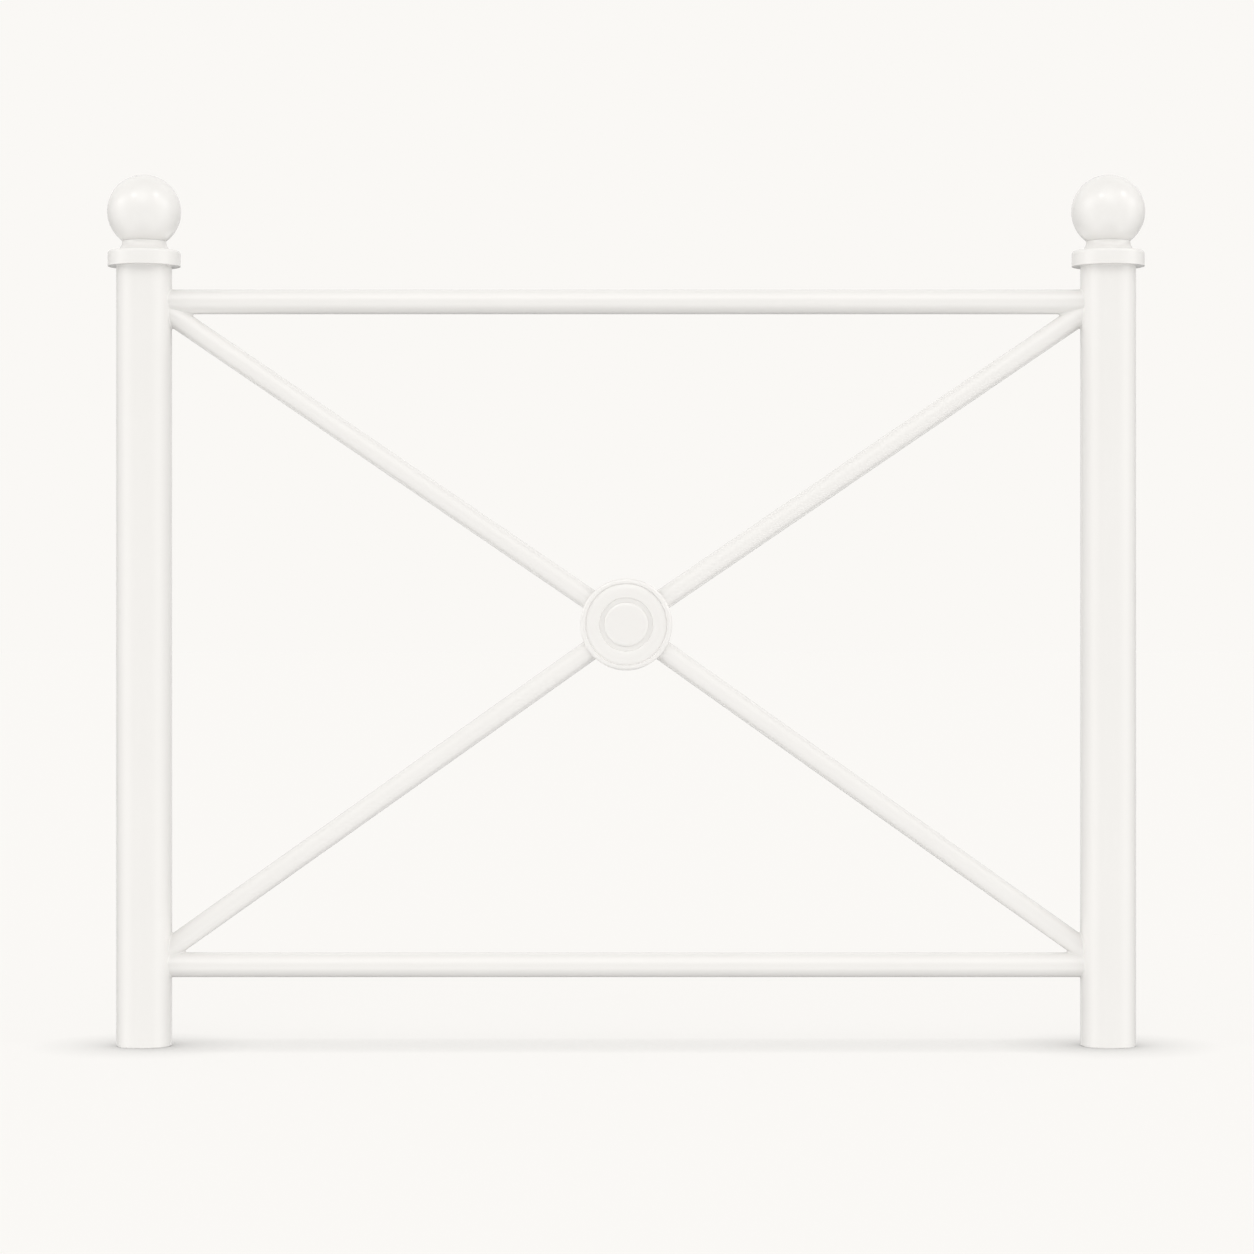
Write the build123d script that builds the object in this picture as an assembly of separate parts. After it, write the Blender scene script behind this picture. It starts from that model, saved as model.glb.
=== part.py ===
from build123d import *

import os

# A painted street barrier. Millimetres, +X along the barrier, its front faces -Y, +Z up.
# The origin is the centre of the left post's foot, at ground level.

# Posts: round tube standing on its cut end
POST_SPACING = 1050.0
POST_DIAMETER = 60.3
POST_WALL = 2.9
POST_TOP = 848.5
FOOT_CHAMFER = 0.8

# Rails: round tube, coped to the posts at both ends
RAIL_DIAMETER = 26.9
RAIL_WALL = 2.3
TOP_RAIL_HEIGHT = 810.0
BOTTOM_RAIL_HEIGHT = 88.0

# Braces: four arms of round tube, from each post's axis towards the centre of the cross
BRACE_DIAMETER = 23.2
BRACE_WALL = 2.0
UPPER_BRACE_HEIGHT = 816.6
LOWER_BRACE_HEIGHT = 86.0
CROSS_HEIGHT = 458.6
SOCKET_START = 22.0

# Welds: one bead at each corner, ground to a small fillet round both bars
WELD_FILLET = 1.5

# Caps: a collar and a hollow-sided neck turned in one piece, with a spigot in the post's bore
COLLAR_RADIUS = 39.5
COLLAR_HEIGHT = 17.0
COLLAR_ROUNDING = 3.5
NECK_HEIGHT = 10.5
NECK_BASE_RADIUS = 29.4
NECK_TOP_RADIUS = 24.0
NECK_LIP = 0.8
SPIGOT_LENGTH = 22.0
SPIGOT_CLEARANCE = 0.15

# Balls: seated on the necks by a small flat
BALL_RADIUS = 40.0
BALL_SEAT_RADIUS = 23.6

# Rosette: two half castings that clasp the braces, drawn by radius and depth from mid-plane
ROSETTE_RADIUS = 50.0
SEAM_CHAMFER = 0.7
RIM_EDGE_DEPTH = 13.4
RIM_CREST_RADIUS = 47.4
RIM_FRONT_DEPTH = 15.3
RIM_INNER_RADIUS = 45.0
RIM_INNER_DEPTH = 15.4
GROOVE_RADIUS = 44.2
GROOVE_DEPTH = 13.9
RING_CREST_RADIUS = 36.5
RING_CREST_DEPTH = 15.7
RING_INNER_RADIUS = 29.6
RING_INNER_DEPTH = 14.8
FLOOR_RADIUS = 28.8
FLOOR_DEPTH = 13.3

# Bosses: a round-shouldered button on the floor of each casting
BOSS_RADIUS = 23.6
BOSS_SIDE = 1.1
BOSS_FACE_RADIUS = 19.4
BOSS_DEPTH = 15.7

POST_RADIUS = POST_DIAMETER / 2
BORE_RADIUS = POST_RADIUS - POST_WALL
CENTRE = Vector(POST_SPACING / 2, 0, CROSS_HEIGHT)
MIDDLE = Plane(CENTRE, z_dir=(1, 0, 0))
POST_PLACES = {"left": 0.0, "right": POST_SPACING}
RAIL_HEIGHTS = {"top": TOP_RAIL_HEIGHT, "bottom": BOTTOM_RAIL_HEIGHT}
ARM_HEIGHTS = {"upper": UPPER_BRACE_HEIGHT, "lower": LOWER_BRACE_HEIGHT}
ARM_RAILS = {"upper": TOP_RAIL_HEIGHT, "lower": BOTTOM_RAIL_HEIGHT}


def bar(start, end, radius):
    """A solid round bar between two points."""
    axis = end - start
    return extrude(Plane(origin=start, z_dir=axis) * Circle(radius), amount=axis.length)


def tube(start, end, diameter, wall):
    """A round tube between two points."""
    radius = diameter / 2
    return bar(start, end, radius) - bar(start, end, radius - wall)


def post_line(x):
    return Vector(x, 0, 0), Vector(x, 0, POST_TOP)


def rail_line(height):
    return Vector(0, 0, height), Vector(POST_SPACING, 0, height)


def arm_line(x, height):
    """The axis of a brace, from the post's axis to where its tube ends in the rosette."""
    start = Vector(x, 0, height)
    return start, CENTRE + (start - CENTRE).normalized() * SOCKET_START


def post(x):
    """A post, the edge of its foot dressed."""
    body = tube(*post_line(x), POST_DIAMETER, POST_WALL)
    foot_edges = body.edges().group_by(Axis.Z)[0].filter_by(GeomType.CIRCLE)
    return chamfer(foot_edges.sort_by(SortBy.RADIUS)[-1], FOOT_CHAMFER)


def rail(height):
    """A rail with both ends saddle-cut to sit on the posts."""
    body = tube(*rail_line(height), RAIL_DIAMETER, RAIL_WALL)
    for x in POST_PLACES.values():
        body -= bar(*post_line(x), POST_RADIUS)
    return body


def brace(x, height, rail_height):
    """A brace whose outer end is saddle-cut to the post and to the rail at once."""
    body = tube(*arm_line(x, height), BRACE_DIAMETER, BRACE_WALL)
    body -= bar(*post_line(x), POST_RADIUS)
    return body - bar(*rail_line(rail_height), RAIL_DIAMETER / 2)


def weld(height, rail_height):
    """The bead round a corner of the left post: what a fillet adds to the post, rail and brace."""
    bars = [
        bar(*post_line(0), POST_RADIUS),
        bar(*rail_line(rail_height), RAIL_DIAMETER / 2),
        bar(*arm_line(0, height), BRACE_DIAMETER / 2),
    ]
    corner = bars[0] + bars[1] + bars[2]
    bead = fillet(corner.edges().filter_by(GeomType.BSPLINE), WELD_FILLET)
    for piece in bars:
        bead -= piece
    return bead


def cap(x):
    """The turned collar and neck on a post."""
    spigot_radius = BORE_RADIUS - SPIGOT_CLEARANCE
    spigot_foot = POST_TOP - SPIGOT_LENGTH
    collar_top = POST_TOP + COLLAR_HEIGHT
    neck_top = collar_top + NECK_HEIGHT
    outline = Polyline(
        (0, neck_top),
        (0, spigot_foot),
        (spigot_radius, spigot_foot),
        (spigot_radius, POST_TOP),
        (COLLAR_RADIUS, POST_TOP),
        (COLLAR_RADIUS, collar_top - COLLAR_ROUNDING),
    )
    outline += RadiusArc(
        (COLLAR_RADIUS, collar_top - COLLAR_ROUNDING),
        (COLLAR_RADIUS - COLLAR_ROUNDING, collar_top),
        -COLLAR_ROUNDING,
    )
    outline += Line((COLLAR_RADIUS - COLLAR_ROUNDING, collar_top), (NECK_BASE_RADIUS, collar_top))
    lip = (NECK_TOP_RADIUS, neck_top - NECK_LIP)
    outline += TangentArc(lip, (NECK_BASE_RADIUS, collar_top), tangent=(0, -1))
    outline += TangentArc(lip, (NECK_TOP_RADIUS - NECK_LIP, neck_top), tangent=(0, 1))
    outline += Line((NECK_TOP_RADIUS - NECK_LIP, neck_top), (0, neck_top))
    return Pos(x, 0, 0) * revolve(Plane.XZ * make_face(outline), Axis.Z)


def ball(x):
    """A ball with a flat where it sits on the neck."""
    seat_height = POST_TOP + COLLAR_HEIGHT + NECK_HEIGHT
    rise = (BALL_RADIUS**2 - BALL_SEAT_RADIUS**2) ** 0.5
    sphere = Pos(0, 0, rise) * Sphere(BALL_RADIUS)
    above = Pos(0, 0, BALL_RADIUS) * Box(2 * BALL_RADIUS, 2 * BALL_RADIUS, 2 * BALL_RADIUS)
    return Pos(x, 0, seat_height) * (sphere & above)


def rosette_half():
    """One half casting, its seam on the mid-plane and its face towards +Y."""
    outline = Polyline(
        (0, FLOOR_DEPTH),
        (0, 0),
        (ROSETTE_RADIUS - SEAM_CHAMFER, 0),
        (ROSETTE_RADIUS, SEAM_CHAMFER),
        (ROSETTE_RADIUS, RIM_EDGE_DEPTH),
    )
    outline += ThreePointArc(
        (ROSETTE_RADIUS, RIM_EDGE_DEPTH),
        (RIM_CREST_RADIUS, RIM_FRONT_DEPTH),
        (RIM_INNER_RADIUS, RIM_INNER_DEPTH),
    )
    outline += Line((RIM_INNER_RADIUS, RIM_INNER_DEPTH), (GROOVE_RADIUS, GROOVE_DEPTH))
    outline += TangentArc(
        (RING_CREST_RADIUS, RING_CREST_DEPTH), (GROOVE_RADIUS, GROOVE_DEPTH), tangent=(1, 0)
    )
    outline += TangentArc(
        (RING_CREST_RADIUS, RING_CREST_DEPTH), (RING_INNER_RADIUS, RING_INNER_DEPTH), tangent=(-1, 0)
    )
    outline += Polyline(
        (RING_INNER_RADIUS, RING_INNER_DEPTH), (FLOOR_RADIUS, FLOOR_DEPTH), (0, FLOOR_DEPTH)
    )
    return revolve(make_face(outline), Axis.Y)


def boss():
    """The button on a half casting, its face towards +Y."""
    shoulder = FLOOR_DEPTH + BOSS_SIDE
    outline = Polyline((0, BOSS_DEPTH), (0, FLOOR_DEPTH), (BOSS_RADIUS, FLOOR_DEPTH), (BOSS_RADIUS, shoulder))
    outline += TangentArc((BOSS_FACE_RADIUS, BOSS_DEPTH), (BOSS_RADIUS, shoulder), tangent=(1, 0))
    outline += Line((BOSS_FACE_RADIUS, BOSS_DEPTH), (0, BOSS_DEPTH))
    return revolve(make_face(outline), Axis.Y)


def rosette():
    """Both castings, with sockets for the braces' ends, and both buttons."""
    pieces = {}
    for face, turn in (("front", 180), ("rear", 0)):
        place = Pos(CENTRE) * Rot(0, 0, turn)
        casting = place * rosette_half()
        for x in POST_PLACES.values():
            for height in ARM_HEIGHTS.values():
                casting -= bar(*arm_line(x, height), BRACE_DIAMETER / 2)
        pieces[f"{face}_rosette"] = casting
        pieces[f"{face}_boss"] = place * boss()
    return pieces


def barrier():
    """Every piece of the barrier by its node's name."""
    pieces = {}
    for side, x in POST_PLACES.items():
        pieces[f"{side}_post"] = post(x)
        pieces[f"{side}_cap"] = cap(x)
        pieces[f"{side}_ball"] = ball(x)
        for level, height in ARM_HEIGHTS.items():
            pieces[f"{level}_{side}_brace"] = brace(x, height, ARM_RAILS[level])
    for level, height in ARM_HEIGHTS.items():
        bead = weld(height, ARM_RAILS[level])
        pieces[f"{level}_left_weld"] = bead
        pieces[f"{level}_right_weld"] = mirror(bead, MIDDLE)
    for level, height in RAIL_HEIGHTS.items():
        pieces[f"{level}_rail"] = rail(height)
    pieces.update(rosette())
    return pieces


os.makedirs("parts", exist_ok=True)
for node, shape in barrier().items():
    export_step(shape, f"parts/{node}.step")
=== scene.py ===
import math

import bpy
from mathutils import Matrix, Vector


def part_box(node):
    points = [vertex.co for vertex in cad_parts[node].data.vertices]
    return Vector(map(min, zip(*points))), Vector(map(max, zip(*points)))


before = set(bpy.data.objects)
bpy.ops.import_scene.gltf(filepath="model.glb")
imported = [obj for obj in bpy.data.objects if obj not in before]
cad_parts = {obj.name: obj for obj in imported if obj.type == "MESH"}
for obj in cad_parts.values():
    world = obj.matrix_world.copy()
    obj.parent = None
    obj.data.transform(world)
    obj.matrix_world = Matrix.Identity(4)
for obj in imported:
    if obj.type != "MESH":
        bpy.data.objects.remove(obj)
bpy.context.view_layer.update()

# The pieces cast in moulds, by the end of their names
CASTINGS = ("_cap", "_ball", "_rosette", "_boss")

# The photograph's frame, in pixels, and the camera's place, in metres
IMAGE_SIZE = 1254
SENSOR_WIDTH = 36.0
FOCAL_PIXELS = 3541.0
CAMERA_DISTANCE = 3.857
CAMERA_HEIGHT = 0.4558
CAMERA_SIDE_SHIFT = 0.0009
CAMERA_FAR_CLIP = 100.0

# White gloss paint: its tone drifts slowly, and orange peel dimples its surface
PAINT_COLOUR = (0.775, 0.765, 0.749)
PAINT_ROUGHNESS = 0.26
DRIFT_SCALE = 9.0
DRIFT_DETAIL = 3.0
DRIFT_RANGE = (0.985, 1.015)
PEEL_SCALE = 420.0
PEEL_DETAIL = 1.0
PEEL_STRENGTH = 0.08
PEEL_HEIGHT = 0.0001

# The backdrop, and the floor that meets it: partly lit and partly glowing, with painted shade near
# the feet
BACKGROUND = (0.956, 0.939, 0.913)
FLOOR_EXTENT = 60.0
FLOOR_SEEN = (0.887, 0.881, 0.87)
FLOOR_GLOW = 0.8
FLOOR_SHADE_REACH = 0.1
FLOOR_SHADE_SAMPLES = 4

# The studio's soft lights by azimuth, elevation, tightness and strength, each with its mirror image
STUDIO_TINT = (1.0, 0.99, 0.975)
STUDIO_SURROUND = 0.02
STUDIO_LIGHTS = (
    (80, 20, 60, 2.69),
    (60, 30, 20, 2.16),
    (70, -10, 10, 1.84),
    (60, -50, 20, 1.83),
    (10, 40, 20, 1.66),
    (140, -40, 60, 1.61),
    (20, -30, 20, 1.5),
    (150, -30, 60, 1.16),
    (120, 50, 10, 0.92),
    (10, 70, 20, 0.65),
    (160, -10, 60, 0.6),
    (150, 20, 10, 0.51),
    (110, 10, 60, 0.44),
    (170, 10, 25, 0.41),
    (20, 0, 20, 0.4),
    (170, 50, 10, 0.36),
)

# The small lamps that the balls mirror, by azimuth and elevation, with their width in degrees
LAMP_PLACES = ((-34, 45), (57, 46))
LAMP_WIDTH = 8.5
LAMP_STRENGTH = 0.27


def new_object(name, data):
    """An object in the scene that holds this data."""
    item = bpy.data.objects.new(name, data)
    bpy.context.scene.collection.objects.link(item)
    return item


def new_material(name):
    """A material, its nodes and links, and the shader that it starts with."""
    material = bpy.data.materials.new(name)
    material.use_nodes = True
    nodes = material.node_tree.nodes
    return material, nodes, material.node_tree.links, nodes["Principled BSDF"]


def for_camera(nodes, links, shown, otherwise):
    """What the camera sees, where every other ray meets something else."""
    path = nodes.new("ShaderNodeLightPath")
    mix = nodes.new("ShaderNodeMixShader")
    links.new(path.outputs["Is Camera Ray"], mix.inputs["Fac"])
    links.new(otherwise, mix.inputs[1])
    links.new(shown, mix.inputs[2])
    return mix.outputs["Shader"]


def add_camera():
    """A level camera in front of the barrier's middle."""
    data = bpy.data.cameras.new("camera")
    data.sensor_width = SENSOR_WIDTH
    data.lens = FOCAL_PIXELS / IMAGE_SIZE * SENSOR_WIDTH
    data.clip_end = CAMERA_FAR_CLIP
    camera = new_object("camera", data)
    middle = (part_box("left_post")[0].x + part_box("right_post")[1].x) / 2
    camera.location = (middle + CAMERA_SIDE_SHIFT, -CAMERA_DISTANCE, CAMERA_HEIGHT)
    camera.rotation_euler = (math.radians(90), 0, 0)
    bpy.context.scene.camera = camera


def paint(name):
    """White gloss paint: a faint drift of tone and an orange-peel surface."""
    material, nodes, links, shader = new_material(name)
    shader.inputs["Roughness"].default_value = PAINT_ROUGHNESS
    place = nodes.new("ShaderNodeTexCoord")
    drift = nodes.new("ShaderNodeTexNoise")
    drift.inputs["Scale"].default_value = DRIFT_SCALE
    drift.inputs["Detail"].default_value = DRIFT_DETAIL
    links.new(place.outputs["Object"], drift.inputs["Vector"])
    tone = nodes.new("ShaderNodeMapRange")
    tone.inputs["To Min"].default_value, tone.inputs["To Max"].default_value = DRIFT_RANGE
    links.new(drift.outputs["Fac"], tone.inputs["Value"])
    tint = nodes.new("ShaderNodeVectorMath")
    tint.operation = "SCALE"
    tint.inputs[0].default_value = PAINT_COLOUR
    links.new(tone.outputs["Result"], tint.inputs["Scale"])
    links.new(tint.outputs["Vector"], shader.inputs["Base Color"])
    peel = nodes.new("ShaderNodeTexNoise")
    peel.inputs["Scale"].default_value = PEEL_SCALE
    peel.inputs["Detail"].default_value = PEEL_DETAIL
    links.new(place.outputs["Object"], peel.inputs["Vector"])
    bump = nodes.new("ShaderNodeBump")
    bump.inputs["Strength"].default_value = PEEL_STRENGTH
    bump.inputs["Distance"].default_value = PEEL_HEIGHT
    links.new(peel.outputs["Fac"], bump.inputs["Height"])
    links.new(bump.outputs["Normal"], shader.inputs["Normal"])
    return material


def dress(node, material):
    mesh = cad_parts[node].data
    mesh.materials.clear()
    mesh.materials.append(material)


def direction(azimuth, elevation):
    """A unit vector; azimuth 0 faces the barrier's front and grows towards its right."""
    turn, tilt = math.radians(azimuth), math.radians(elevation)
    return (math.cos(tilt) * math.sin(turn), -math.cos(tilt) * math.cos(turn), math.sin(tilt))


def add_world():
    """A pale studio: a dim surround with soft lights, and a flat backdrop for the camera."""
    world = bpy.data.worlds.new("studio")
    bpy.context.scene.world = world
    world.use_nodes = True
    nodes = world.node_tree.nodes
    links = world.node_tree.links
    place = nodes.new("ShaderNodeTexCoord")
    total = None
    mirrored = [(-azimuth, *light) for azimuth, *light in STUDIO_LIGHTS]
    for azimuth, elevation, tightness, strength in (*STUDIO_LIGHTS, *mirrored):
        towards = nodes.new("ShaderNodeVectorMath")
        towards.operation = "DOT_PRODUCT"
        towards.inputs[1].default_value = direction(azimuth, elevation)
        links.new(place.outputs["Generated"], towards.inputs[0])
        falloff = nodes.new("ShaderNodeMath")
        falloff.operation = "MULTIPLY_ADD"
        falloff.inputs[1].default_value = tightness
        falloff.inputs[2].default_value = -tightness
        links.new(towards.outputs["Value"], falloff.inputs[0])
        glow = nodes.new("ShaderNodeMath")
        glow.operation = "EXPONENT"
        links.new(falloff.outputs["Value"], glow.inputs[0])
        gather = nodes.new("ShaderNodeMath")
        gather.operation = "MULTIPLY_ADD"
        gather.inputs[1].default_value = strength
        gather.inputs[2].default_value = STUDIO_SURROUND
        links.new(glow.outputs["Value"], gather.inputs[0])
        if total is not None:
            links.new(total, gather.inputs[2])
        total = gather.outputs["Value"]
    lit = nodes["Background"]
    lit.inputs["Color"].default_value = (*STUDIO_TINT, 1)
    links.new(total, lit.inputs["Strength"])
    seen = nodes.new("ShaderNodeBackground")
    seen.inputs["Color"].default_value = (*BACKGROUND, 1)
    both = for_camera(nodes, links, seen.outputs["Background"], lit.outputs["Background"])
    links.new(both, nodes["World Output"].inputs["Surface"])


def add_lamps():
    """Small lamps, far enough away to be suns, that only put highlights on the castings."""
    castings = bpy.data.collections.new("castings")
    for node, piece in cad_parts.items():
        if node.endswith(CASTINGS):
            castings.objects.link(piece)
    for azimuth, elevation in LAMP_PLACES:
        data = bpy.data.lights.new("lamp", "SUN")
        data.energy = LAMP_STRENGTH
        data.angle = math.radians(LAMP_WIDTH)
        lamp = new_object("lamp", data)
        lamp.rotation_euler = (math.radians(90 - elevation), 0, math.radians(azimuth))
        lamp.visible_diffuse = False
        lamp.light_linking.receiver_collection = castings


def add_floor():
    """A pale floor for the camera alone, its glow darkened by painted shade near the barrier; the
    studio itself holds the light that comes from below.
    """
    mesh = bpy.data.meshes.new("floor")
    corners = ((-1, -1), (1, -1), (1, 1), (-1, 1))
    places = [(FLOOR_EXTENT * x, FLOOR_EXTENT * y, 0) for x, y in corners]
    mesh.from_pydata(places, [], [(0, 1, 2, 3)])
    floor = new_object("floor", mesh)
    material, nodes, links, shader = new_material("floor")
    nodes.remove(shader)
    seen = nodes.new("ShaderNodeBsdfDiffuse")
    seen.inputs["Color"].default_value = (*FLOOR_SEEN, 1)
    # Painted shade: ambient occlusion darkens the floor's glow near the feet and under the rails, a
    # contact shadow painted in rather than cast by the lights
    painted_contact_shade = nodes.new("ShaderNodeAmbientOcclusion")
    painted_contact_shade.samples = FLOOR_SHADE_SAMPLES
    painted_contact_shade.inputs["Distance"].default_value = FLOOR_SHADE_REACH
    glow = nodes.new("ShaderNodeEmission")
    glow.inputs["Color"].default_value = (*BACKGROUND, 1)
    links.new(painted_contact_shade.outputs["AO"], glow.inputs["Strength"])
    soften = nodes.new("ShaderNodeMixShader")
    soften.inputs["Fac"].default_value = FLOOR_GLOW
    links.new(seen.outputs["BSDF"], soften.inputs[1])
    links.new(glow.outputs["Emission"], soften.inputs[2])
    clear = nodes.new("ShaderNodeBsdfTransparent")
    both = for_camera(nodes, links, soften.outputs["Shader"], clear.outputs["BSDF"])
    links.new(both, nodes["Material Output"].inputs["Surface"])
    mesh.materials.append(material)


add_camera()
add_world()
add_lamps()
add_floor()
tube_paint = paint("tube_paint")
casting_paint = paint("casting_paint")
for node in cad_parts:
    dress(node, casting_paint if node.endswith(CASTINGS) else tube_paint)

bpy.context.scene.view_settings.view_transform = "Standard"
